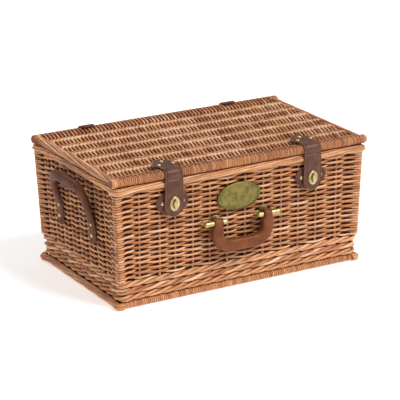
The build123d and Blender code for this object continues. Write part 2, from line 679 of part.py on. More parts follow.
# ---- side handles -------------------------------------------------------------------------
for side_name, side in (("left", -1), ("right", 1)):
    low_x = half_x(SIDE_HANDLE_BOTTOM_Z) + 0.2
    high_x = half_x(SIDE_HANDLE_FOLD_Z) + 0.2
    lean = Vector(side * (high_x - low_x), 0, SIDE_HANDLE_FOLD_Z - SIDE_HANDLE_BOTTOM_Z)
    leg_length = lean.length - 2
    leg_normal = Vector(side * lean.Z, 0, -abs(lean.X))
    with BuildPart() as handle_ends:
        for leg_y in (-SIDE_HANDLE_Y, SIDE_HANDLE_Y):
            leg_plane = Plane(
                origin=(side * low_x, leg_y, SIDE_HANDLE_BOTTOM_Z), x_dir=(0, side, 0), z_dir=leg_normal
            )
            with BuildSketch(leg_plane):
                with Locations((0, leg_length / 2)):
                    Rectangle(SIDE_HANDLE_WIDTH, leg_length)
            extrude(amount=3)
        low_corners = handle_ends.edges().filter_by(Axis.X, tolerance=5).group_by(Axis.Z)[0]
        fillet(low_corners, 8)
        cut_shanks(side_rivets(side), (side, 0, 0), 8)
    save(handle_ends, f"{side_name}_side_handle_ends")

    fold = (side * (half_x(SIDE_HANDLE_FOLD_Z) + 1.2), 0, SIDE_HANDLE_FOLD_Z)
    outward = Vector(side * cos(radians(SIDE_HANDLE_TILT)), 0, -sin(radians(SIDE_HANDLE_TILT)))
    loop_plane = Plane(origin=fold, x_dir=(0, side, 0), z_dir=outward)
    with BuildPart() as side_handle:
        half_span = SIDE_HANDLE_Y + SIDE_HANDLE_WIDTH / 2
        half_gap = SIDE_HANDLE_Y - SIDE_HANDLE_WIDTH / 2
        with BuildSketch(loop_plane):
            with BuildLine():
                FilletPolyline(
                    (-half_span, 2.5),
                    (-half_span, SIDE_HANDLE_HEIGHT),
                    (half_span, SIDE_HANDLE_HEIGHT),
                    (half_span, 2.5),
                    radius=40,
                )
                Line((half_span, 2.5), (half_gap, 2.5))
                FilletPolyline(
                    (half_gap, 2.5),
                    (half_gap, SIDE_HANDLE_HEIGHT - SIDE_HANDLE_WIDTH),
                    (-half_gap, SIDE_HANDLE_HEIGHT - SIDE_HANDLE_WIDTH),
                    (-half_gap, 2.5),
                    radius=22,
                )
                Line((-half_gap, 2.5), (-half_span, 2.5))
            make_face()
        extrude(amount=SIDE_HANDLE_THICKNESS)
        loop_edges = [e for e in side_handle.edges() if e.center().Z > SIDE_HANDLE_FOLD_Z + 6]
        fillet(loop_edges, 3)
    save(side_handle, f"{side_name}_side_handle")

with BuildPart() as side_handle_washers:
    for side in (-1, 1):
        for place in side_rivets(side):
            inner_face = side * (half_x(place.Z) - WALL_THICKNESS - 0.2)
            with BuildSketch(Plane(origin=(inner_face, place.Y, place.Z), z_dir=(-side, 0, 0))):
                Circle(5)
                Circle(RIVET_SHANK_DIA / 2 + 0.1, mode=Mode.SUBTRACT)
            extrude(amount=1)
save(side_handle_washers, "side_handle_washers")
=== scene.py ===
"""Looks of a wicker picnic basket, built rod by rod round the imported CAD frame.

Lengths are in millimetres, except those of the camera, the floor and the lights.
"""
import math
import random

import bmesh
import bpy
import numpy as np
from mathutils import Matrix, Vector


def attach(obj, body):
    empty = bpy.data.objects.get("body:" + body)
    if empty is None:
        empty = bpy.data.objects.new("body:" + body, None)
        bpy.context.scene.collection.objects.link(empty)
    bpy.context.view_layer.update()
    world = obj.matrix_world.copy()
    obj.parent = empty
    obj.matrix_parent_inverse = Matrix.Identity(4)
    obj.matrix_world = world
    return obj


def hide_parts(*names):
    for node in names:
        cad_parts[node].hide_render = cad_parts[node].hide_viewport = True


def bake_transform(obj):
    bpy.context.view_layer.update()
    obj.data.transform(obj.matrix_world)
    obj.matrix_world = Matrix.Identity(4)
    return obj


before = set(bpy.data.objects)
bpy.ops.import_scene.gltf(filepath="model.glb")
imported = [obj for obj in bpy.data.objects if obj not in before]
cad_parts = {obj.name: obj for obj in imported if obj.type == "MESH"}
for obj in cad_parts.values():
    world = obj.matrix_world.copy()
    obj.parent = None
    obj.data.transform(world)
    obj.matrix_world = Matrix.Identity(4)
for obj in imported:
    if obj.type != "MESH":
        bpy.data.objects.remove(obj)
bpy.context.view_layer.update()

MM = 0.001
TAU = 2 * math.pi
rng = random.Random(11)

# ---- camera -------------------------------------------------------------------------------
CAMERA_TARGET = Vector((2.2, 0.0, 103.4)) * MM
CAMERA_DISTANCE = 3.254
CAMERA_AZIMUTH = math.radians(-30.5)
CAMERA_ELEVATION = math.radians(18.93)
CAMERA_LENS = 177.75
camera_back = Vector((
    math.sin(CAMERA_AZIMUTH) * math.cos(CAMERA_ELEVATION),
    -math.cos(CAMERA_AZIMUTH) * math.cos(CAMERA_ELEVATION),
    math.sin(CAMERA_ELEVATION),
))
camera_data = bpy.data.cameras.new("camera")
camera_data.lens = CAMERA_LENS
camera_data.sensor_width = 36.0
camera_data.clip_end = 50.0
camera = bpy.data.objects.new("camera", camera_data)
bpy.context.scene.collection.objects.link(camera)
camera.rotation_mode = "QUATERNION"
camera.location = CAMERA_TARGET + camera_back * CAMERA_DISTANCE
camera.rotation_quaternion = (-camera_back).to_track_quat("-Z", "Y")
bpy.context.scene.camera = camera

# ---- sizes that follow the CAD part ---------------------------------------------------------
FRONT_Y = -136.0
FOOT_HALF_X, TOP_HALF_X = 220.5, 228.0
FOOT_BACK_Y, TOP_BACK_Y = 130.0, 140.5
WALL_THICKNESS = 11.0
WALE_TOP, WALL_TOP = 46.0, 185.0
RIM_Y, RIM_Z, RIM_RADIUS = 134.0, 209.0, 7.5
BASE_FRONT_Y, BASE_BACK_Y, BASE_Z = -131.0, 127.0, 6.0
FRONT_STAKES = (-184, -148, -120, -88, -57, -25, 8, 42, 76, 109, 143, 182)
CLASP_X = 128.0
HINGE_X = 136.0
SIDES = (("left", -1), ("right", 1))


def half_x(z):
    """Half of the body's length at height z."""
    return FOOT_HALF_X + (TOP_HALF_X - FOOT_HALF_X) * z / WALL_TOP


def back_y(z):
    """Where the outer face of the back wall is at height z."""
    return FOOT_BACK_Y + (TOP_BACK_Y - FOOT_BACK_Y) * z / WALL_TOP


# ---- materials ------------------------------------------------------------------------------
def new_material(name):
    """A material with its nodes, its links and its shader."""
    mat = bpy.data.materials.new(name)
    mat.use_nodes = True
    nodes = mat.node_tree.nodes
    return mat, nodes, mat.node_tree.links, nodes["Principled BSDF"]


def node(nodes, kind, **inputs):
    """A new node with some of its inputs set."""
    made = nodes.new(kind)
    for key, value in inputs.items():
        made.inputs[key.replace("_", " ")].default_value = value
    return made


def ramp(nodes, stops):
    """A colour ramp with these places and colours."""
    made = nodes.new("ShaderNodeValToRGB")
    elements = made.color_ramp.elements
    while len(elements) < len(stops):
        elements.new(0.5)
    for element, (place, colour) in zip(elements, stops):
        element.position = place
        element.color = (*colour, 1.0)
    return made


def mix(nodes, links, kind, factor, a, b):
    """The colour a mixed with b, which is a colour or a socket."""
    made = nodes.new("ShaderNodeMix")
    made.data_type = "RGBA"
    made.blend_type = kind
    if isinstance(factor, float):
        made.inputs[0].default_value = factor
    else:
        links.new(factor, made.inputs[0])
    links.new(a, made.inputs[6])
    if isinstance(b, tuple):
        made.inputs[7].default_value = (*b, 1.0)
    else:
        links.new(b, made.inputs[7])
    return made.outputs[2]


STREAK_SHADES = [(0.32, (0.60, 0.50, 0.44)), (0.52, (1.0, 1.0, 1.0)), (0.75, (1.22, 1.2, 1.2))]
BLOTCH_SHADES = [(0.3, (0.70, 0.58, 0.50)), (0.5, (1.0, 1.0, 1.0)), (0.72, (1.12, 1.14, 1.18))]


def willow(name, stops, use_rods=True, rough=0.42):
    """Split and buffed willow: each rod has its own tone, with fine grain along it and a few darker knots."""
    mat, nodes, links, shader = new_material(name)
    if use_rods:
        place = nodes.new("ShaderNodeAttribute")
        place.attribute_name = "grain"
        tone_node = nodes.new("ShaderNodeAttribute")
        tone_node.attribute_name = "tone"
        tone = tone_node.outputs["Fac"]
        where = place.outputs["Vector"]
    else:
        place = nodes.new("ShaderNodeTexCoord")
        scale = nodes.new("ShaderNodeVectorMath")
        scale.operation = "SCALE"
        scale.inputs[3].default_value = 1000.0
        links.new(place.outputs["Object"], scale.inputs[0])
        where = scale.outputs[0]
        spread = node(nodes, "ShaderNodeTexNoise", Scale=0.03, Detail=1.0)
        links.new(where, spread.inputs["Vector"])
        tone = spread.outputs["Fac"]
    colours = ramp(nodes, stops)
    links.new(tone, colours.inputs[0])
    streaks = node(nodes, "ShaderNodeTexNoise", Scale=0.9, Detail=4.0, Roughness=0.65)
    links.new(where, streaks.inputs["Vector"])
    streak_shade = ramp(nodes, STREAK_SHADES)
    links.new(streaks.outputs["Fac"], streak_shade.inputs[0])
    blotches = node(nodes, "ShaderNodeTexNoise", Scale=0.16, Detail=2.0)
    links.new(where, blotches.inputs["Vector"])
    blotch_shade = ramp(nodes, BLOTCH_SHADES)
    links.new(blotches.outputs["Fac"], blotch_shade.inputs[0])
    colour = mix(nodes, links, "MULTIPLY", 0.85, colours.outputs[0], streak_shade.outputs[0])
    colour = mix(nodes, links, "MULTIPLY", 0.9, colour, blotch_shade.outputs[0])
    links.new(colour, shader.inputs["Base Color"])
    rough_ramp = ramp(nodes, [(0.3, (rough + 0.16,) * 3), (0.7, (rough - 0.06,) * 3)])
    links.new(streaks.outputs["Fac"], rough_ramp.inputs[0])
    links.new(rough_ramp.outputs[0], shader.inputs["Roughness"])
    bump = node(nodes, "ShaderNodeBump", Strength=0.35, Distance=0.0004)
    links.new(streaks.outputs["Fac"], bump.inputs["Height"])
    links.new(bump.outputs[0], shader.inputs["Normal"])
    return mat


def leather(name, dark, mid, light, rough=0.42, grain=1.0, shine=0.3):
    """Waxed hide: pebbled grain, cloudy colour, and edges rubbed paler."""
    mat, nodes, links, shader = new_material(name)
    place = nodes.new("ShaderNodeTexCoord")
    clouds = node(nodes, "ShaderNodeTexNoise", Scale=55.0, Detail=4.0, Roughness=0.6)
    links.new(place.outputs["Object"], clouds.inputs["Vector"])
    tint = ramp(nodes, [(0.3, dark), (0.52, mid), (0.75, light)])
    links.new(clouds.outputs["Fac"], tint.inputs[0])
    pebbles = node(nodes, "ShaderNodeTexVoronoi", Scale=900.0)
    links.new(place.outputs["Object"], pebbles.inputs["Vector"])
    pebble_shade = ramp(nodes, [(0.0, (1.05, 1.05, 1.05)), (0.6, (0.86, 0.84, 0.82))])
    links.new(pebbles.outputs["Distance"], pebble_shade.inputs[0])
    colour = mix(nodes, links, "MULTIPLY", 0.8, tint.outputs[0], pebble_shade.outputs[0])
    edges = nodes.new("ShaderNodeNewGeometry")
    worn = ramp(nodes, [(0.52, (0.0, 0.0, 0.0)), (0.62, (0.5, 0.5, 0.5))])
    links.new(edges.outputs["Pointiness"], worn.inputs[0])
    rubbed = tuple(min(1.0, c * 2.2) for c in light)
    colour = mix(nodes, links, "MIX", worn.outputs[0], colour, rubbed)
    links.new(colour, shader.inputs["Base Color"])
    shader.inputs["Roughness"].default_value = rough
    shader.inputs["Specular IOR Level"].default_value = shine
    bump = node(nodes, "ShaderNodeBump", Strength=0.25 * grain, Distance=0.0003)
    links.new(pebbles.outputs["Distance"], bump.inputs["Height"])
    creases = node(nodes, "ShaderNodeBump", Strength=0.3 * grain, Distance=0.0012)
    links.new(clouds.outputs["Fac"], creases.inputs["Height"])
    links.new(bump.outputs[0], creases.inputs["Normal"])
    links.new(creases.outputs[0], shader.inputs["Normal"])
    return mat


def metal(name, dark, light, rough):
    """Lacquered brass with slight tarnish and fine scratches."""
    mat, nodes, links, shader = new_material(name)
    place = nodes.new("ShaderNodeTexCoord")
    tarnish = node(nodes, "ShaderNodeTexNoise", Scale=140.0, Detail=5.0, Roughness=0.6)
    links.new(place.outputs["Object"], tarnish.inputs["Vector"])
    tint = ramp(nodes, [(0.35, dark), (0.6, light)])
    links.new(tarnish.outputs["Fac"], tint.inputs[0])
    links.new(tint.outputs[0], shader.inputs["Base Color"])
    shader.inputs["Metallic"].default_value = 1.0
    gloss = ramp(nodes, [(0.3, (rough + 0.14,) * 3), (0.7, (rough,) * 3)])
    links.new(tarnish.outputs["Fac"], gloss.inputs[0])
    links.new(gloss.outputs[0], shader.inputs["Roughness"])
    fine = node(nodes, "ShaderNodeTexNoise", Scale=1800.0, Detail=2.0)
    links.new(place.outputs["Object"], fine.inputs["Vector"])
    bump = node(nodes, "ShaderNodeBump", Strength=0.12, Distance=0.0002)
    links.new(fine.outputs["Fac"], bump.inputs["Height"])
    links.new(bump.outputs[0], shader.inputs["Normal"])
    return mat


WILLOW_TONES = [
    (0.0, (0.27, 0.088, 0.030)),
    (0.3, (0.46, 0.175, 0.064)),
    (0.6, (0.62, 0.275, 0.108)),
    (0.85, (0.74, 0.39, 0.19)),
    (1.0, (0.80, 0.50, 0.31)),
]
STICK_TONES = [(0.3, (0.46, 0.20, 0.09)), (0.7, (0.64, 0.33, 0.17))]
# The rim cores' colour: the cut ends' own dark red-brown, and painted shade in the grooves where the core
# shows between the wraps.
CUT_END_AND_GROOVE_SHADE_TONES = [(0.3, (0.15, 0.040, 0.012)), (0.7, (0.30, 0.095, 0.034))]
# Painted shade: the very dark sheets inside the walls, the base and the lid stand for the shade seen through
# the gaps between rods. The lid's sheet is lighter and redder.
SHADE_TONES = [(0.3, (0.035, 0.012, 0.007)), (0.7, (0.08, 0.025, 0.013))]
LID_PAINTED_SHADE_TONES = [(0.3, (0.08, 0.022, 0.010)), (0.7, (0.16, 0.048, 0.022))]
willow_rods = willow("willow_rods", WILLOW_TONES)
willow_sticks = willow("willow_sticks", STICK_TONES, use_rods=False)
willow_cut_end_and_groove_shade = willow("willow_cut_end_and_groove_shade", CUT_END_AND_GROOVE_SHADE_TONES, use_rods=False, rough=0.6)
willow_shade = willow("willow_shade", SHADE_TONES, use_rods=False, rough=0.9)
willow_lid_painted_shade = willow("willow_lid_painted_shade", LID_PAINTED_SHADE_TONES, use_rods=False, rough=0.9)
BROWN_HIDE = (0.070, 0.024, 0.013), (0.125, 0.046, 0.026), (0.18, 0.072, 0.043)
HANDLE_HIDE = (0.070, 0.020, 0.008), (0.125, 0.038, 0.016), (0.19, 0.062, 0.028)
TAN_HIDE = (0.145, 0.040, 0.012), (0.20, 0.060, 0.019), (0.25, 0.084, 0.031)
brown_leather = leather("brown_leather", *BROWN_HIDE)
handle_leather = leather("handle_leather", *HANDLE_HIDE, rough=0.5, shine=0.12)
tan_leather = leather("tan_leather", *TAN_HIDE, grain=0.6, shine=0.2)
brass = metal("brass", (0.42, 0.32, 0.14), (0.66, 0.56, 0.29), 0.34)
antique_brass = metal("antique_brass", (0.175, 0.14, 0.042), (0.27, 0.225, 0.072), 0.38)


# ---- building meshes ------------------------------------------------------------------------
def unit(v):
    return v / np.maximum(np.linalg.norm(v, axis=-1, keepdims=True), 1e-9)


def travel(path):
    """How far along a path each of its points is."""
    return np.concatenate([[0.0], np.cumsum(np.linalg.norm(np.diff(path, axis=0), axis=1))])


def read_off(table, at):
    """The value at each place, between the rows (place, value) of a table."""
    places, values = zip(*table)
    return np.interp(at, places, values)


def own_tone():
    """How light one rod is, from 0 to 1."""
    return rng.betavariate(2.6, 2.0)


def wobble(along, size):
    """A slow random waviness, for rods that grew rather than were machined."""
    total = np.zeros(len(along))
    for wave in (29.0, 53.0, 131.0):
        total += np.sin(along / wave * TAU + rng.uniform(0, TAU))
    return size * total / 3


def loft(rings, caps=True):
    """Points and faces of a skin over a row of rings that have equally many points."""
    n = len(rings[0])
    faces = []
    for base in range(n, n * len(rings), n):
        for j in range(n):
            k = (j + 1) % n
            faces.append((base - n + j, base - n + k, base + k, base + j))
    if caps:
        faces.append(tuple(range(n)))
        faces.append(tuple(reversed(range(n * (len(rings) - 1), n * len(rings)))))
    return np.concatenate([np.asarray(ring, float) for ring in rings]), faces


def joined(skins):
    """Several skins made into one."""
    points, faces, count = [], [], 0
    for skin_points, skin_faces in skins:
        points.append(skin_points)
        faces += [tuple(i + count for i in face) for face in skin_faces]
        count += len(skin_points)
    return np.concatenate(points), faces


def crisp(made, degrees):
    """Mark the edges that turn by more than an angle as sharp."""
    made.data.set_sharp_from_angle(angle=math.radians(degrees))


def finish_mesh(name, points, faces, material, sharp=None):
    """A smooth-shaded object, from points in millimetres."""
    mesh = bpy.data.meshes.new(name)
    mesh.from_pydata((np.asarray(points) * MM).tolist(), [], faces)
    mesh.polygons.foreach_set("use_smooth", [True] * len(mesh.polygons))
    mesh.materials.append(material)
    made = bpy.data.objects.new(name, mesh)
    bpy.context.scene.collection.objects.link(made)
    if sharp:
        crisp(made, sharp)
    return made


def outward(made):
    """Turn every face of a closed mesh to look outwards."""
    work = bmesh.new()
    work.from_mesh(made.data)
    bmesh.ops.recalc_face_normals(work, faces=work.faces)
    work.to_mesh(made.data)
    work.free()


def fix(made, body, slot, *stands_for):
    """Fix a piece to a body and hide the CAD nodes it stands for; slot, what it is made of, is not used."""
    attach(made, body)
    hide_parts(*stands_for)


GRAIN_STRETCH = 0.07


class Rods:
    """Round rods joined into one piece. Each rod has its own tone, and its grain runs along it."""

    def __init__(self, sides=8):
        self.sides = sides
        self.points, self.quads, self.caps, self.tones, self.grains = [], [], [], [], []
        self.count = 0

    def add(self, path, radius, up=(0, 0, 1), flat=1.0, tone=None, closed=False):
        """One rod along a path. Flat is its thickness towards up, as a share of its width."""
        path = np.asarray(path, float)
        n, sides = len(path), self.sides
        if closed:
            tangent = unit(np.roll(path, -1, 0) - np.roll(path, 1, 0))
        else:
            tangent = unit(np.gradient(path, axis=0))
        side = unit(np.cross(tangent, np.broadcast_to(np.asarray(up, float), path.shape)))
        over = np.cross(side, tangent)
        wide = np.broadcast_to(np.asarray(radius, float), (n,))[:, None, None]
        thick = wide * np.broadcast_to(np.asarray(flat, float), (n,))[:, None, None]
        angle = (np.arange(sides) / sides * TAU)[None, :, None]
        across, rise = wide * np.cos(angle), thick * np.sin(angle)
        ring = path[:, None, :] + across * side[:, None, :] + rise * over[:, None, :]
        self.points.append(ring.reshape(-1, 3))
        self.add_faces(n, closed)
        along = travel(path)
        if tone is None:
            tone = own_tone()
        drift = wobble(along, 0.16) + tone
        self.tones.append(np.repeat(np.clip(drift, 0, 1), sides))
        shift = rng.uniform(0, 900)
        grain = np.zeros((n, sides, 3))
        grain[:, :, 0] = along[:, None] * GRAIN_STRETCH + shift
        grain[:, :, 1:2] = across
        grain[:, :, 2:3] = rise + shift
        self.grains.append(grain.reshape(-1, 3))
        self.count += n * sides

    def add_faces(self, n, closed):
        """The skin of a rod of n rings: a loop of quads between rings, and a cap at each open end."""
        sides = self.sides
        rows = np.arange(n if closed else n - 1)[:, None]
        cols = np.arange(sides)[None, :]
        after_row, after_col = (rows + 1) % n, (cols + 1) % sides
        corners = [rows * sides + cols, rows * sides + after_col,
                   after_row * sides + after_col, after_row * sides + cols]
        self.quads.append(np.stack(corners, -1).reshape(-1, 4) + self.count)
        if not closed:
            self.caps.append([self.count + i for i in reversed(range(sides))])
            self.caps.append([self.count + (n - 1) * sides + i for i in range(sides)])

    def piece(self, name, body, *stands_for, slot="willow_weave"):
        """The finished object, fixed to a body."""
        faces = np.concatenate(self.quads).tolist() + self.caps
        made = finish_mesh(name, np.concatenate(self.points), faces, willow_rods, sharp=60)
        tone = made.data.attributes.new("tone", "FLOAT", "POINT")
        tone.data.foreach_set("value", np.concatenate(self.tones).astype(np.float32))
        grain = made.data.attributes.new("grain", "FLOAT_VECTOR", "POINT")
        grain.data.foreach_set("vector", np.concatenate(self.grains).astype(np.float32).ravel())
        fix(made, body, slot, *stands_for)


# ---- walls ----------------------------------------------------------------------------------
ROW_COUNT, ROW_PITCH = 34, 4.17
ROD_RADIUS, ROD_TALL = 1.72, 1.08
WEAVE_SWING = 3.9
CORNER_INSET, CORNER_SWING = 3.4, 4.9
FIRST_DIP = 17.0
STEP = 3.2
WALLS = ("front", "right", "back", "left")
WALL_ALONG = {"front": (1, 0), "right": (0, 1), "back": (-1, 0), "left": (0, -1)}
WALL_OUT = {"front": (0, -1), "right": (1, 0), "back": (0, 1), "left": (-1, 0)}
STAKES_ON_BACK = 12
STAKES_ON_SIDE = 8


def wall_corners(z, inset):
    """The places inset from the walls' corners at height z, in the order of the walls."""
    x = half_x(z) - inset
    low, high = FRONT_Y + inset, back_y(z) - inset
    return [np.array(p) for p in ((-x, low), (x, low), (x, high), (-x, high))]


def stake_places(wall, length):
    """How far along a wall its stakes stand."""
    if wall == "front":
        return [x + length / 2 for x in FRONT_STAKES]
    count = STAKES_ON_BACK if wall == "back" else STAKES_ON_SIDE
    return [length * (i + 1) / (count + 1) for i in range(count)]


def corner_turn(corner, out_before, out_after, low, high):
    """Part of a row's turn round the outside of a corner post."""
    angle = np.radians(np.linspace(low, high, 5))[:, None]
    return corner + CORNER_SWING * (np.cos(angle) * out_before + np.sin(angle) * out_after)


def swing(knots, offsets, u, roundness):
    """Sideways place of a weaver at u, as it passes from one knot's offset to the next."""
    place = np.interp(u, knots, np.arange(len(knots)))
    index = np.minimum(place.astype(int), len(knots) - 2)
    wave = np.cos(np.pi * (place - index))
    wave = (1 + np.sign(wave) * np.abs(wave) ** roundness) / 2
    offsets = np.array(offsets)
    return offsets[index] * wave + offsets[index + 1] * (1 - wave)


def wall_row(k):
    """One woven row's centre line on each wall: outside the corner posts, and in and out of the stakes."""
    z = WALE_TOP + ROW_PITCH * (k + 0.5)
    corners = wall_corners(z, CORNER_INSET)
    middle = WALL_THICKNESS / 2 - CORNER_INSET
    rows = {}
    for i, wall in enumerate(WALLS):
        start, end = corners[i], corners[(i + 1) % 4]
        along, out = np.array(WALL_ALONG[wall], float), np.array(WALL_OUT[wall], float)
        before = np.array(WALL_OUT[WALLS[i - 1]], float)
        after = np.array(WALL_OUT[WALLS[(i + 1) % 4]], float)
        length = np.linalg.norm(end - start)
        dips = [FIRST_DIP] + stake_places(wall, length) + [length - FIRST_DIP]
        sign = 1 if (k + i) % 2 else -1
        offsets = [sign * (-1) ** j * WEAVE_SWING - middle for j in range(len(dips))]
        u = np.linspace(0, length, int(length / STEP))
        knots = [0] + dips + [length]
        offset = swing(knots, [CORNER_SWING] + offsets + [CORNER_SWING], u, 0.8)
        straight = start + u[:, None] * along + offset[:, None] * out
        flat_path = np.concatenate([
            corner_turn(start, before, out, 45, 90)[:-1],
            straight,
            corner_turn(end, out, after, 0, 45)[1:],
        ])
        window = np.sin(np.pi * np.linspace(0, 1, len(flat_path))) ** 0.4
        height = z + wobble(travel(flat_path), 0.5) * window
        rows[wall] = np.column_stack([flat_path, height])
    return rows


wall_rods = {wall: Rods() for wall in WALLS}
for k in range(ROW_COUNT):
    for wall, path in wall_row(k).items():
        radius = ROD_RADIUS * rng.uniform(0.9, 1.1)
        uneven = 1 + wobble(np.arange(len(path)) * STEP, 0.09)
        tall = ROD_TALL * rng.uniform(0.94, 1.06)
        wall_rods[wall].add(path, radius * uneven, flat=tall)
for wall in WALLS:
    wall_rods[wall].piece(f"{wall}_wall_rods", "basket", f"{wall}_weave")

# ---- painted shade: a very dark sheet inside each panel, seen only through the gaps between its rods ---
SHADE_INSET, SHADE_RUN = 7.7, 2.4
SHADE_LOW, SHADE_HIGH = 10.0, 190.0
SHADE_THICKNESS = 0.5


def panel(name, body, low, high, thickness, stands_for, material):
    """A thin sheet between two edges, made thick along a vector."""
    low, high, thickness = np.array(low, float), np.array(high, float), np.array(thickness, float)
    near = np.concatenate([low, high])
    points = np.concatenate([near, near + thickness])
    faces = [(0, 1, 2, 3), (7, 6, 5, 4), (0, 4, 5, 1), (1, 5, 6, 2), (2, 6, 7, 3), (3, 7, 4, 0)]
    made = finish_mesh(name, points, faces, material, sharp=30)
    outward(made)
    fix(made, body, "willow_weave", stands_for)


def level_panel(name, body, x, y_low, y_high, z, stands_for, material):
    """A level sheet at height z, reaching x to each side."""
    front, back = [(-x, y_low, z), (x, y_low, z)], [(x, y_high, z), (-x, y_high, z)]
    panel(name, body, front, back, (0, 0, SHADE_THICKNESS), stands_for, material)


def shade_edge(i, z):
    """The edge of a wall's painted shade sheet at height z."""
    corners = wall_corners(z, SHADE_INSET)
    run = SHADE_RUN * np.array(WALL_ALONG[WALLS[i]])
    return [(*(corners[i] - run), z), (*(corners[(i + 1) % 4] + run), z)]


for i, wall in enumerate(WALLS):
    inwards = [-SHADE_THICKNESS * v for v in WALL_OUT[wall]] + [0]
    low, high = shade_edge(i, SHADE_LOW), shade_edge(i, SHADE_HIGH)[::-1]
    panel(f"{wall}_wall_shade", "basket", low, high, inwards, f"{wall}_weave", willow_shade)
# The base and the lid get painted shade sheets of their own.
level_panel("base_shade", "basket", 216, -127, 123, 5.8, "base_weave", willow_shade)
level_panel("lid_shade", "lid", 221, -129, 129, 204.6, "lid_weave", willow_lid_painted_shade)

POST_LOW = 42.0
POST_RADIUS = CORNER_SWING - 1.5
posts = Rods(12)
post_z = np.linspace(POST_LOW, WALL_TOP, 24)
share = ((post_z - POST_LOW) / (WALL_TOP - POST_LOW))[:, None]
for low, high in zip(wall_corners(POST_LOW, CORNER_INSET), wall_corners(WALL_TOP, CORNER_INSET)):
    line = np.column_stack([low + share * (high - low), post_z])
    posts.add(line, POST_RADIUS, up=(0, 1, 0), tone=0.45)
posts.piece("corner_post_rods", "basket", "corner_posts")


# ---- ropes round the body -------------------------------------------------------------------
def rounded_ring(hx, y_low, y_high, corner, step=3.6):
    """A rounded rectangle seen from above, from the middle of the back: points and outward directions."""
    points, outs = [], []
    centres = [(-hx + corner, y_high - corner, 90), (-hx + corner, y_low + corner, 180),
               (hx - corner, y_low + corner, 270), (hx - corner, y_high - corner, 0)]
    outline = [((0.0, y_high), (0.0, 1.0))]
    for cx, cy, start in centres:
        for turn in range(0, 91, 15):
            a = math.radians(start + turn)
            out = math.cos(a), math.sin(a)
            outline.append(((cx + corner * out[0], cy + corner * out[1]), out))
    outline.append(outline[0])
    for (p, out), (q, out_next) in zip(outline, outline[1:]):
        count = max(1, int(math.dist(p, q) / step))
        for i in range(count):
            t = i / count
            points.append([p[0] + t * (q[0] - p[0]), p[1] + t * (q[1] - p[1])])
            outs.append([out[0] + t * (out_next[0] - out[0]), out[1] + t * (out_next[1] - out[1])])
    return np.array(points), unit(np.array(outs))


def bulge(ring, outs, size, reach=16.0):
    """The ring, swelling outwards by size at its four corners."""
    corner = np.array([(np.min(ring[:, i]), np.max(ring[:, i])) for i in (0, 1)])
    near = np.hypot(*[np.min(np.abs(ring[:, i, None] - corner[i]), axis=1) for i in (0, 1)])
    return ring + outs * (size * np.exp(-(near / reach) ** 2))[:, None]


def at_height(ring, z):
    """A ring seen from above, as a level line."""
    return np.column_stack([ring, np.full(len(ring), z)])


def rope(rods, line, outs, strands, turns, out_swing, up_swing, radius, closed=True, start=0.0):
    """Rods twisted together along a line: each winds round it, out by out_swing and up by up_swing."""
    along = travel(line)
    total = along[-1] + (np.linalg.norm(line[0] - line[-1]) if closed else 0.0)
    for strand in range(strands):
        angle = TAU * (turns * along / total + strand / strands + start)
        path = line + at_height(outs, 0.0) * (np.cos(angle) * out_swing)[:, None]
        path[:, 2] += np.sin(angle) * up_swing
        rods.add(path, radius * (1 + wobble(along, 0.07)) * rng.uniform(0.93, 1.07), closed=closed)


WALE_HEIGHTS = (17.6, 28.6, 39.8)
WALE_INSET = WALL_THICKNESS / 2 - 0.8
wale = Rods()
for z in WALE_HEIGHTS:
    ring, outs = rounded_ring(half_x(z) - WALE_INSET, FRONT_Y + WALE_INSET, back_y(z) - WALE_INSET, 8)
    line = at_height(bulge(ring, outs, 2.8), z)
    rope(wale, line, outs, strands=3, turns=19, out_swing=3.2, up_swing=3.0, radius=2.35,
         start=rng.random())
wale.piece("wale_rods", "basket", "bottom_wale")

BORDER_Z = 194.6
border = Rods()
ring, outs = rounded_ring(223.0, -134.2, 135.0, 2.2)
line = at_height(bulge(ring, outs, 5.0), BORDER_Z)
rope(border, line, outs, strands=8, turns=3, out_swing=5.9, up_swing=4.1, radius=1.95)
border.piece("top_border_rods", "basket", "top_border")

# ---- lid and base mats ----------------------------------------------------------------------
RIM_EDGE = 9.0
RIM_SLIM = 0.87
USUAL_TONE = 0.56
# How much lighter the weavers are on top where they pass over a stick, and over how wide a stretch: a painted
# highlight along the crest lines.
CREST_PAINTED_HIGHLIGHT, CREST_WIDTH = 0.35, 4.0


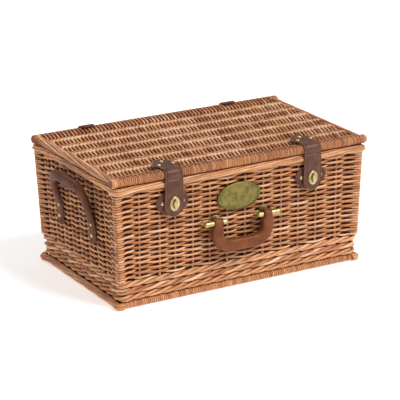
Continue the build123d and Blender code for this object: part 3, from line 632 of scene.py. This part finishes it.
def mat(rods, x_range, pitch, rims, rim_z, wrap_radius, sticks, stick_swing, radius, thin, step, rim_tone):
    """Weavers from the back rim to the front rim, over and under the sticks, each wrapped round both rims.

    Near the rims they are flattened by thin and are close to rim_tone, and where they pass over the sticks,
    on top, they are lighter: a painted highlight along each crest line.
    """
    front, back = rims
    knots = [back, *sorted(sticks, reverse=True), front]
    swings = np.array([wrap_radius] + [stick_swing] * len(sticks) + [wrap_radius])
    y = np.linspace(back, front, int((back - front) / step))
    arc = np.radians(np.linspace(-80, 90, 11))
    around = wrap_radius * np.column_stack([np.cos(arc), np.sin(arc)])
    count = int(round((x_range[1] - x_range[0]) / pitch))
    for i in range(count + 1):
        x = x_range[0] + (x_range[1] - x_range[0]) * i / count
        signs = np.array([(-1) ** (i + 1 + j) for j in range(len(knots))])
        height = swing([-k for k in knots], swings * signs, -y, 0.85)
        back_arc = ([back, 0] + around * [1, signs[0]])[:-1]
        front_arc = ([front, 0] + around * [-1, signs[-1]])[::-1][1:]
        yz = np.concatenate([back_arc, np.column_stack([y, height]), front_arc])
        path = np.column_stack([np.full(len(yz), x), yz[:, 0], yz[:, 1] + rim_z])
        travelled = np.arange(len(path)) * step
        path[:, 0] += wobble(travelled, 0.35)
        middle = np.concatenate([np.full(len(back_arc), back), y, np.full(len(front_arc), front)])
        up = np.column_stack([np.zeros(len(yz)), yz[:, 0] - middle, yz[:, 1]])
        front_start = len(back_arc) + len(y)
        up[:len(back_arc)] *= signs[0]
        up[len(back_arc):front_start] = (0, 0, 1)
        up[front_start:] *= signs[-1]
        at_rim = np.minimum(np.abs(yz[:, 0] - back), np.abs(yz[:, 0] - front)) < RIM_EDGE
        own = own_tone()
        # Painted highlight: the tone is raised on top of each stick crossing.
        off_stick = np.min([((yz[:, 0] - s) / CREST_WIDTH) ** 2 for s in sticks], axis=0)
        crest = np.exp(-off_stick) * (yz[:, 1] > 0)
        tone = np.where(at_rim, rim_tone + 0.5 * (own - USUAL_TONE), own + CREST_PAINTED_HIGHLIGHT * crest)
        slim = np.where(at_rim, RIM_SLIM, 1.0) * (1 + wobble(travelled, 0.06))
        flat = np.where(at_rim, thin, 1.0)
        rods.add(path, radius * rng.uniform(0.93, 1.07) * slim, up=up, flat=flat, tone=tone)


def wraps(rods, xs, y, z, wrap_radius, radius, thin):
    """Single turns of rod round a rim."""
    turn = np.arange(16) / 16 * TAU
    radial = np.column_stack([np.zeros(16), np.cos(turn), np.sin(turn)])
    for x in xs:
        path = radial * wrap_radius + np.array([x, y, z])
        path[:, 0] += 0.5 * np.sin(turn + rng.uniform(0, TAU))
        rods.add(path, radius, up=radial, flat=thin, closed=True)


def spaced(low, high, count):
    """Places that divide a stretch evenly, without its ends."""
    return [low + (high - low) / (count + 1) * (i + 1) for i in range(count)]


LID_WRAP = 6.45
LID_STICKS = spaced(-RIM_Y, RIM_Y, 6)
RIM_TURNS = (222.7, 226.0, 229.3, 232.4)
lid_rods = Rods()
mat(lid_rods, (-219.4, 219.4), pitch=3.325, rims=(-RIM_Y, RIM_Y), rim_z=RIM_Z, wrap_radius=LID_WRAP,
    sticks=LID_STICKS, stick_swing=4.7, radius=1.72, thin=0.6, step=3.9, rim_tone=0.35)
for y in (-RIM_Y, RIM_Y):
    wraps(lid_rods, [s * x for s in (-1, 1) for x in RIM_TURNS], y, RIM_Z, LID_WRAP, radius=1.5, thin=0.7)
lid_rods.piece("lid_rods", "lid", "lid_weave")

CREST_HALF_X, CREST_RISE, CREST_RADIUS = 221, 3.0, 3.1
crests = Rods(12)
for y in LID_STICKS:
    x = np.linspace(-CREST_HALF_X, CREST_HALF_X, 90)
    line = np.column_stack([x, np.full(len(x), y), np.full(len(x), RIM_Z + CREST_RISE)])
    line[:, 1] += wobble(x + CREST_HALF_X, 0.4)
    # Tone 0.95, near the lightest willow: partly the sticks' own pale colour, partly a painted highlight
    # along the crest lines.
    crests.add(line, CREST_RADIUS * (1 + wobble(x + CREST_HALF_X, 0.05)), tone=0.95)
crests.piece("lid_crest_sticks", "lid", "lid_sticks", slot="willow_sticks")

BASE_STICKS = spaced(-125.0, 121.0, 6)
base_rods = Rods(6)
mat(base_rods, (-211, 211), pitch=3.5, rims=(BASE_FRONT_Y, BASE_BACK_Y), rim_z=BASE_Z, wrap_radius=4.9,
    sticks=BASE_STICKS, stick_swing=4.0, radius=1.6, thin=0.66, step=5.5, rim_tone=0.6)
base_rods.piece("base_rods", "basket", "base_weave")

# How far along a core each ring is, and its radius as a share of the core's.
CORE_RINGS = ((0, 0.0), (0, 0.82), (0, 0.95), (0.0025, 1.0), (0.25, 1.0), (0.5, 1.0), (0.75, 1.0),
              (0.9975, 1.0), (1, 0.95), (1, 0.82), (1, 0.0))


def core(name, body, ends, radius, stands_for):
    """The thick sticks inside the wrapped rims, with cut ends."""
    angle = np.arange(20) / 20 * TAU
    circle = np.column_stack([np.zeros(20), np.cos(angle), np.sin(angle)])
    skins = []
    for start, end in ends:
        start, end = np.array(start, float), np.array(end, float)
        rings = [start + (end - start) * share + radius * grow * circle for share, grow in CORE_RINGS]
        skins.append(loft(rings, caps=False))
    # Dark all along: the cut ends' own colour, and painted shade in the grooves between the wraps.
    made = finish_mesh(name, *joined(skins), willow_cut_end_and_groove_shade, sharp=50)
    fix(made, body, "willow_sticks", *stands_for)


LID_CORE_X, BASE_CORE_X = 235.5, 213
core("lid_rim_cores", "lid",
     [((-LID_CORE_X, y, RIM_Z), (LID_CORE_X, y, RIM_Z)) for y in (-RIM_Y, RIM_Y)],
     6.0, ("lid_front_rim", "lid_back_rim"))
core("base_rail_cores", "basket",
     [((-BASE_CORE_X, y, BASE_Z), (BASE_CORE_X, y, BASE_Z)) for y in (BASE_FRONT_Y, BASE_BACK_Y)],
     4.3, ("base_front_rail", "base_back_rail"))

BAND_X = 225.6
bands = Rods()
for side in (-1, 1):
    y = np.linspace(-RIM_Y + 6, RIM_Y - 6, 66)
    line = np.column_stack([np.full(len(y), side * BAND_X), y, np.full(len(y), RIM_Z)])
    outs = np.tile([side, 0.0], (len(y), 1))
    rope(bands, line, outs, strands=7, turns=0.8, out_swing=3.4, up_swing=4.9, radius=1.85, closed=False,
         start=rng.random())
bands.piece("lid_end_rods", "lid", "lid_end_bands")

BASE_END_X = 212.5
ends = Rods()
for side in (-1, 1):
    ring, outs = rounded_ring(220.6, -132.6, 128.6, 2.6, 3.0)
    ring = bulge(ring, outs, 4.0, reach=11.0)
    keep = ring[:, 0] * side > BASE_END_X
    ring, outs = ring[keep], outs[keep]
    gaps = np.linalg.norm(np.diff(ring, axis=0), axis=1)
    if gaps.max() > 20:
        first = int(np.argmax(gaps > 20)) + 1
        ring, outs = np.roll(ring, -first, 0), np.roll(outs, -first, 0)
    rope(ends, at_height(ring, BASE_Z), outs, strands=6, turns=1.2, out_swing=3.7, up_swing=3.7, radius=2.1,
         closed=False, start=rng.random())
ends.piece("base_end_rods", "basket", "base_end_ropes")

# ---- leather --------------------------------------------------------------------------------
LEATHER = 2.4
# The edge of a strip: how far in from its side, and how high as a share of its thickness.
STRIP_EDGE = ((0.0, 0.0), (0.25, 0.32), (0.8, 0.5), (2.0, 0.5), (2.5, 0.36), (3.0, 0.5))


def strip(yz, x, half_widths):
    """A cut strip of hide along a path: rounded edges and a creased line inside each edge."""
    path = np.column_stack([np.full(len(yz), x), yz])
    across = np.array([1.0, 0.0, 0.0])
    normal = unit(np.cross(unit(np.gradient(path, axis=0)), across))
    rings = []
    for centre, out, w in zip(path, normal, half_widths):
        shrink = min(1.0, w / 6.0)
        edge = [(w - inset * shrink, h) for inset, h in STRIP_EDGE]
        loop = [(-u, h) for u, h in edge]
        loop += [(w * f * 0.5, 0.5) for f in (-0.8, -0.4, 0.0, 0.4, 0.8)]
        loop += reversed(edge)
        under = [(w - 0.25 * shrink, -0.32), (w - 0.8 * shrink, -0.5), (w * 0.3, -0.5)]
        loop += under
        loop += [(-u, h) for u, h in reversed(under)]
        rings.append([centre + across * u + out * (h * LEATHER) for u, h in loop])
    return loft(rings)


def arc_points(centre_y, centre_z, radius, start, end, count):
    """Points on an arc, seen from the end of the basket."""
    a = np.radians(np.linspace(start, end, count))
    return np.column_stack([centre_y + radius * np.cos(a), centre_z + radius * np.sin(a)])


def cut_slot(made, x, y, z, half_width, half_height):
    """An oval hole through a strap."""
    a = np.arange(40) / 40 * TAU
    rim = np.column_stack([x + half_width * np.cos(a), np.full(40, y - 6), z + half_height * np.sin(a)])
    far = rim + np.array([0, 12, 0])
    cutter = finish_mesh("cutter", *loft([rim, far]), brown_leather)
    outward(cutter)
    boolean = made.modifiers.new("slot", "BOOLEAN")
    boolean.object = cutter
    boolean.operation = "DIFFERENCE"
    boolean.solver = "EXACT"
    evaluated = made.evaluated_get(bpy.context.evaluated_depsgraph_get())
    made.data = bpy.data.meshes.new_from_object(evaluated)
    made.modifiers.clear()
    bpy.data.objects.remove(cutter)


FOLD_REACH = RIM_RADIUS + LEATHER / 2 + 0.1
STRAP_END_Y, STRAP_WIDTH = -89, 15.8
STRAP_LID_WIDTHS = ((-150, STRAP_WIDTH), (-124, STRAP_WIDTH), (-119, 19.5), (-114, 21.3), (-107, 18.5),
                    (-95, 10.5), (STRAP_END_Y, 5.5))
TIP_Z, TIP_WIDTH, TIP_LENGTH = 158.5, 17.2, 16.5
CREASE_Z, SWELL_Z = 202.0, 198.8


def closing_strap(side_name, side):
    """From its riveted end on the lid, over the front rim and down to its rounded tip, with a slot."""
    lid_part = np.column_stack([np.linspace(STRAP_END_Y, -RIM_Y, 24), np.full(24, RIM_Z + FOLD_REACH)])
    bend = arc_points(-RIM_Y, RIM_Z, FOLD_REACH, 90, 180, 12)[1:]
    tip_z = TIP_Z - TIP_LENGTH * np.sin(np.linspace(0.0, 1.5, 15))
    drop_z = np.concatenate([np.linspace(RIM_Z, 197.4, 30)[1:], np.linspace(196.5, TIP_Z + 0.5, 24), tip_z])
    crease = 1.5 * np.exp(-((drop_z - CREASE_Z) / 1.3) ** 2) - 0.6 * np.exp(-((drop_z - SWELL_Z) / 1.6) ** 2)
    drop = np.column_stack([-RIM_Y - FOLD_REACH + crease, drop_z])
    yz = np.concatenate([lid_part, bend, drop])
    z = yz[:, 1]
    on_front = read_off(((TIP_Z, TIP_WIDTH), (RIM_Z, STRAP_WIDTH)), z)
    widths = np.where(z < RIM_Z, on_front, read_off(STRAP_LID_WIDTHS, yz[:, 0]))
    rounded = TIP_WIDTH * np.sqrt(np.clip(1 - ((TIP_Z - z) / TIP_LENGTH) ** 2, 0.0, 1))
    widths = np.where(z < TIP_Z, rounded, widths)
    strap = finish_mesh(f"{side_name}_strap_leather", *strip(yz, side * CLASP_X, widths), brown_leather)
    outward(strap)
    cut_slot(strap, side * CLASP_X, -RIM_Y - FOLD_REACH, 162.5, 4.9, 8.9)
    crisp(strap, 55)
    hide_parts(f"{side_name}_strap", f"{side_name}_strap_top")
    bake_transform(strap)


HINGE_START_Y, HINGE_WIDTH = 127, 13.0
HINGE_LID_WIDTHS = ((HINGE_START_Y, 8.5), (128, 10.4), (130, 12.2), (132, HINGE_WIDTH))
HINGE_FOOT_WIDTHS = ((150, 6.5), (151, 8.8), (153, 11.2), (156, HINGE_WIDTH))


def hinge_strip(side_name, side):
    """From the lid's back edge, over the back rim and down the back wall."""
    lid_part = np.column_stack([np.linspace(HINGE_START_Y, RIM_Y, 9), np.full(9, RIM_Z + FOLD_REACH)])
    bend = arc_points(RIM_Y, RIM_Z, FOLD_REACH, 90, 0, 12)[1:]
    drop_z = np.linspace(RIM_Z, 186, 22)[1:]
    drop = np.column_stack([np.full(len(drop_z), RIM_Y + FOLD_REACH), drop_z])
    low_z = np.linspace(184, 150, 14)
    low = np.column_stack([back_y(low_z) + 1.5 + 5.2 * np.clip((low_z - 177) / 9, 0, 1) ** 1.5, low_z])
    yz = np.concatenate([lid_part, bend, drop, low])
    widths = read_off(HINGE_LID_WIDTHS, yz[:, 0])
    widths = np.where(yz[:, 1] < 156, read_off(HINGE_FOOT_WIDTHS, yz[:, 1]), widths)
    hinge = finish_mesh(f"{side_name}_hinge_leather", *strip(yz, side * HINGE_X, widths), brown_leather)
    outward(hinge)
    crisp(hinge, 55)
    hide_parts(f"{side_name}_hinge_upper", f"{side_name}_hinge_lower")
    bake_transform(hinge)


for side_name, side in SIDES:
    closing_strap(side_name, side)
for side_name, side in SIDES:
    hinge_strip(side_name, side)


def swept(name, path, across, half_width, half_depth, material, power, sides=20):
    """A thick moulded or rolled leather bar with a rounded-rectangle section."""
    normal = unit(np.cross(unit(np.gradient(path, axis=0)), across))
    angle = np.arange(sides) / sides * TAU
    cos, sin = np.cos(angle), np.sin(angle)
    px = np.sign(cos) * np.abs(cos) ** (2 / power)
    pz = np.sign(sin) * np.abs(sin) ** (2 / power)
    rings = []
    for centre, side, out, wide, deep in zip(path, across, normal, half_width, half_depth):
        rings.append([centre + side * a * wide + out * b * deep for a, b in zip(px, pz)])
    made = finish_mesh(name, *loft(rings), material)
    outward(made)
    crisp(made, 60)
    return made


def rounded_path(corners, radius, step=2.5):
    """A polyline with rounded corners, in a plane, as evenly spaced points."""
    dense = [np.array(corners[0], float)]
    for before, corner, after in zip(corners, corners[1:], corners[2:]):
        before, corner, after = (np.array(v, float) for v in (before, corner, after))
        into, away = unit(before - corner), unit(after - corner)
        half = math.acos(float(np.dot(into, away))) / 2
        cut = radius / math.tan(half)
        centre = corner + unit(into + away) * radius / math.sin(half)
        start, end = corner + into * cut - centre, corner + away * cut - centre
        for t in np.linspace(0, 1, 9):
            sweep = unit(start * (1 - t) + end * t) * radius
            dense.append(centre + sweep)
    dense.append(np.array(corners[-1], float))
    dense = np.array(dense)
    along = travel(dense)
    even = np.linspace(0, along[-1], int(along[-1] / step))
    return np.column_stack([np.interp(even, along, dense[:, i]) for i in range(dense.shape[1])])


FOLD_Z = 128.0
SIDE_TILT = math.radians(14)
SIDE_OUTLINE = [(-56, -40), (-56, 52), (56, 52), (56, -40)]
SIDE_DEPTHS = ((-14, 1.5), (2, 2.6), (18, 4.4), (34, 5.2), (52, 5.6))
SIDE_WIDTHS = ((-40, 4.0), (-38.5, 8.0), (-35, 10.8), (-30, 11.5), (4, 11.2), (24, 9.4), (52, 9.0))


def side_handle(side_name, side):
    """Flat ends riveted to the wall, growing into a round grip that leans outwards above the fold."""
    flat = rounded_path(SIDE_OUTLINE, 27)
    tangent = unit(np.gradient(flat, axis=0))
    path = []
    for y, h in flat:
        if h <= 0:
            z = FOLD_Z + h
            x = half_x(z) + 1.9 + 2.4 * max(0.0, 1 + h / 12)
        else:
            z = FOLD_Z + h * math.cos(SIDE_TILT)
            x = half_x(FOLD_Z) + 4.3 + h * math.sin(SIDE_TILT)
        path.append((side * x, y, z))
    across = unit(np.column_stack([np.zeros(len(flat)), tangent[:, 1], -tangent[:, 0]]))
    rise = flat[:, 1]
    made = swept(f"{side_name}_side_handle_leather", np.array(path), across, read_off(SIDE_WIDTHS, rise),
                 read_off(SIDE_DEPTHS, rise), handle_leather, power=2.4)
    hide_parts(f"{side_name}_side_handle", f"{side_name}_side_handle_ends")
    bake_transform(made)


for side_name, side in SIDES:
    side_handle(side_name, side)

HANDLE_X, PIVOT_Y, PIVOT_Z = -7.0, -148.0, 118.5
HANDLE_HALF_X, HANDLE_TOP_Z, HANDLE_GRIP_Z = 46.5, 126.2, 77.5
HANDLE_OUTLINE = [(-HANDLE_HALF_X, HANDLE_TOP_Z), (-HANDLE_HALF_X, HANDLE_GRIP_Z),
                  (HANDLE_HALF_X, HANDLE_GRIP_Z), (HANDLE_HALF_X, HANDLE_TOP_Z)]
HANDLE_WIDTHS = ((70, 10.0), (105, 10.0), (111, 9.6), (114, 7.6), (127, 7.3))
EYE_RADIUS = 7.75
u_shape = rounded_path(HANDLE_OUTLINE, 24, 2.0)
path = np.column_stack([u_shape[:, 0] + HANDLE_X, np.full(len(u_shape), PIVOT_Y), u_shape[:, 1]])
tangent = unit(np.gradient(u_shape, axis=0))
across = np.column_stack([tangent[:, 1], np.zeros(len(tangent)), -tangent[:, 0]])
height = u_shape[:, 1]
eye_depth = np.sqrt(np.clip(EYE_RADIUS**2 - (height - PIVOT_Z) ** 2, 0.6, 61))
depth = np.where(height > PIVOT_Z, eye_depth, EYE_RADIUS)
handle = swept("front_handle_leather", path, across, read_off(HANDLE_WIDTHS, height), depth, tan_leather,
               power=3.4, sides=28)
fix(handle, "front_handle", "tan_leather", "front_handle")

TAB_Z = 163.5
TAB_OUTLINE = [(29, 5), (19, 15), (9, 18), (-9, 18), (-19, 15), (-29, 5), (-29, -5), (-17, -18), (-9, -20.5),
               (9, -20.5), (17, -18), (29, -5)]
# The tab's edge: how far in from its outline, and how high as a share of its thickness.
TAB_EDGE = ((0.0, 0.0), (0.0, 0.6), (0.3, 0.88), (0.9, 1.0), (2.0, 1.0), (2.4, 0.86), (2.9, 1.0), (5.0, 1.03))


def lock_tab(side_name, side):
    """A flat leather patch on the front wall, with a rounded edge and a creased line inside it."""
    outline = np.array(TAB_OUTLINE, float)
    for _ in range(3):
        after = np.roll(outline, -1, 0)
        outline = np.stack([0.75 * outline + 0.25 * after, 0.25 * outline + 0.75 * after], 1).reshape(-1, 2)
    tangent = unit(np.roll(outline, -1, 0) - np.roll(outline, 1, 0))
    inward = np.column_stack([-tangent[:, 1], tangent[:, 0]])
    rings = []
    for inset, lift in TAB_EDGE:
        ring = outline + inward * inset
        face_y = np.full(len(ring), FRONT_Y - lift * LEATHER)
        rings.append(np.column_stack([side * CLASP_X + ring[:, 0], face_y, TAB_Z + ring[:, 1]]))
    made = finish_mesh(f"{side_name}_tab_leather", *loft(rings), brown_leather)
    outward(made)
    crisp(made, 50)
    fix(made, "basket", "brown_leather", f"{side_name}_lock_tab")


for side_name, side in SIDES:
    lock_tab(side_name, side)

# ---- rivets ---------------------------------------------------------------------------------
# Radius and height of each ring of a head, from its middle to its edge.
RING_HEAD = [(0.0, 0.5), (1.3, 0.5), (1.7, 0.9), (2.1, 1.65), (2.7, 1.8), (3.2, 1.35), (3.5, 0.6), (3.5, 0.0)]
DOME_HEAD = [(0.0, 1.8), (1.2, 1.74), (2.2, 1.5), (2.9, 1.1), (3.3, 0.6), (3.5, 0.15), (3.5, 0.0)]
SHANK_RADIUS = 1.3


def rivets(name, body, places, direction, shank, stands_for, head=DOME_HEAD):
    """Turned brass rivets: a head, and a shank behind it."""
    profile = head + [(SHANK_RADIUS, 0.0), (SHANK_RADIUS, -shank), (0.0, -shank)]
    out = unit(np.array(direction, float))
    side = unit(np.cross(out, (0.31, 0.87, 0.38)))
    up = np.cross(out, side)
    turns = [i / 18 * TAU for i in range(18)]
    spokes = np.array([math.cos(a) * side + math.sin(a) * up for a in turns])
    skins = []
    for place in places:
        rings = [np.array(place) + out * h + r * spokes for r, h in profile]
        skins.append(loft(rings, caps=False))
    made = finish_mesh(name, *joined(skins), brass)
    outward(made)
    crisp(made, 50)
    fix(made, body, "brass", stands_for)


STRAP_RIVET_Z = 218.95
STRAP_RIVETS = ((-12.5, -117), (12.5, -117), (0, -102.5))
rivets("strap_ring_rivets", "lid",
       [(s * CLASP_X + dx, y, STRAP_RIVET_Z) for s in (-1, 1) for dx, y in STRAP_RIVETS],
       (0, 0, 1), 12, "strap_rivets", head=RING_HEAD)
rivets("hinge_rim_rivets", "lid", [(s * HINGE_X + dx, 143.95, RIM_Z) for s in (-1, 1) for dx in (-6, 6)],
       (0, 1, 0), 9.9, "hinge_upper_rivets")
rivets("hinge_wall_rivets", "basket",
       [(s * HINGE_X, back_y(z) + 2.9, z) for s in (-1, 1) for z in (158, 174)],
       (0, 1, 0), 12, "hinge_lower_rivets")
rivets("tab_brass_rivets", "basket",
       [(s * CLASP_X + dx, FRONT_Y - LEATHER, TAB_Z) for s in (-1, 1) for dx in (-18, 18)],
       (0, -1, 0), 5.4, "lock_tab_rivets")
for side_name, side in SIDES:
    rivets(f"{side_name}_handle_rivets", "basket",
           [(side * (half_x(z) + 3.35), y, z) for y in (-56, 56) for z in (101, 120)],
           (side, 0, 0), 13, "side_handle_rivets")

# ---- CAD parts that are shown as they are ------------------------------------------------------
STICK_NODES = ("base_sticks", "front_stakes", "back_stakes", "left_stakes", "right_stakes")
BRASS_NODES = ("left_eyelet", "right_eyelet", "left_lock_plate", "right_lock_plate", "left_knob",
               "right_knob", "left_handle_bracket", "right_handle_bracket", "handle_pins",
               "bracket_rivets", "side_handle_washers")
for names, finish in ((STICK_NODES, willow_sticks), (BRASS_NODES, brass), (("nameplate",), antique_brass)):
    for name in names:
        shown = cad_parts[name]
        shown.data.materials.clear()
        shown.data.materials.append(finish)

# How dark the nameplate is, from its middle (0) to its edge (1): a groove, and darker at the very edge.
GROOVE = [(0.86, (1.0, 1.0, 1.0)), (0.885, (0.42, 0.42, 0.36)), (0.91, (1.0, 1.0, 1.0)),
          (0.965, (1.0, 1.0, 1.0)), (0.985, (0.35, 0.35, 0.3))]


def engrave(material, plate):
    """Darken an oval line inside the edge of the plate."""
    nodes, links = material.node_tree.nodes, material.node_tree.links
    colour = nodes["Principled BSDF"].inputs["Base Color"]
    corners = np.array(plate.bound_box)
    low, high = corners.min(axis=0), corners.max(axis=0)
    place = nodes.new("ShaderNodeTexCoord")
    centred = nodes.new("ShaderNodeVectorMath")
    centred.operation = "SUBTRACT"
    centred.inputs[1].default_value = (low + high) / 2
    links.new(place.outputs["Object"], centred.inputs[0])
    scaled = nodes.new("ShaderNodeVectorMath")
    scaled.operation = "MULTIPLY"
    scaled.inputs[1].default_value = [2 / (high[0] - low[0]), 0, 2 / (high[2] - low[2])]
    links.new(centred.outputs[0], scaled.inputs[0])
    from_middle = nodes.new("ShaderNodeVectorMath")
    from_middle.operation = "LENGTH"
    links.new(scaled.outputs[0], from_middle.inputs[0])
    groove = ramp(nodes, GROOVE)
    links.new(from_middle.outputs["Value"], groove.inputs[0])
    plain = colour.links[0].from_socket
    links.new(mix(nodes, links, "MULTIPLY", 1.0, plain, groove.outputs[0]), colour)


engrave(antique_brass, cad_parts["nameplate"])

# ---- floor and light ------------------------------------------------------------------------
FLOOR_REACH = 6.0
floor_corners = [(x * FLOOR_REACH, y * FLOOR_REACH, 0) for x, y in ((-1, -1), (1, -1), (1, 1), (-1, 1))]
floor_mesh = bpy.data.meshes.new("floor")
floor_mesh.from_pydata(floor_corners, [], [(0, 1, 2, 3)])
floor = bpy.data.objects.new("floor", floor_mesh)
bpy.context.scene.collection.objects.link(floor)
floor_paint, _, _, floor_shader = new_material("floor_paint")
floor_shader.inputs["Base Color"].default_value = (0.93, 0.93, 0.93, 1)
floor_shader.inputs["Roughness"].default_value = 0.9
floor_shader.inputs["Emission Color"].default_value = (1, 1, 1, 1)
floor_shader.inputs["Emission Strength"].default_value = 0.42
floor_mesh.materials.append(floor_paint)


def add_light(name, kind, energy, towards):
    """A light that shines along a direction."""
    data = bpy.data.lights.new(name, kind)
    data.energy = energy
    made = bpy.data.objects.new(name, data)
    bpy.context.scene.collection.objects.link(made)
    made.rotation_mode = "QUATERNION"
    made.rotation_quaternion = towards.to_track_quat("-Z", "Y")
    return made


BACK_LIGHT_PLACE = Vector((-0.6, 1.6, 1.6))
sun = add_light("key", "SUN", 2.5, Vector((-0.36, 0.56, -0.75)))
sun.data.angle = math.radians(24)
back_light = add_light("rim", "AREA", 12, Vector((0, 0, 0.1)) - BACK_LIGHT_PLACE)
back_light.location = BACK_LIGHT_PLACE
back_light.data.shape = "DISK"
back_light.data.size = 1.0
world = bpy.data.worlds.new("studio")
world.use_nodes = True
background = world.node_tree.nodes["Background"]
background.inputs[0].default_value = (1, 1, 1, 1)
background.inputs[1].default_value = 0.37
bpy.context.scene.world = world
bpy.context.scene.view_settings.view_transform = "Standard"
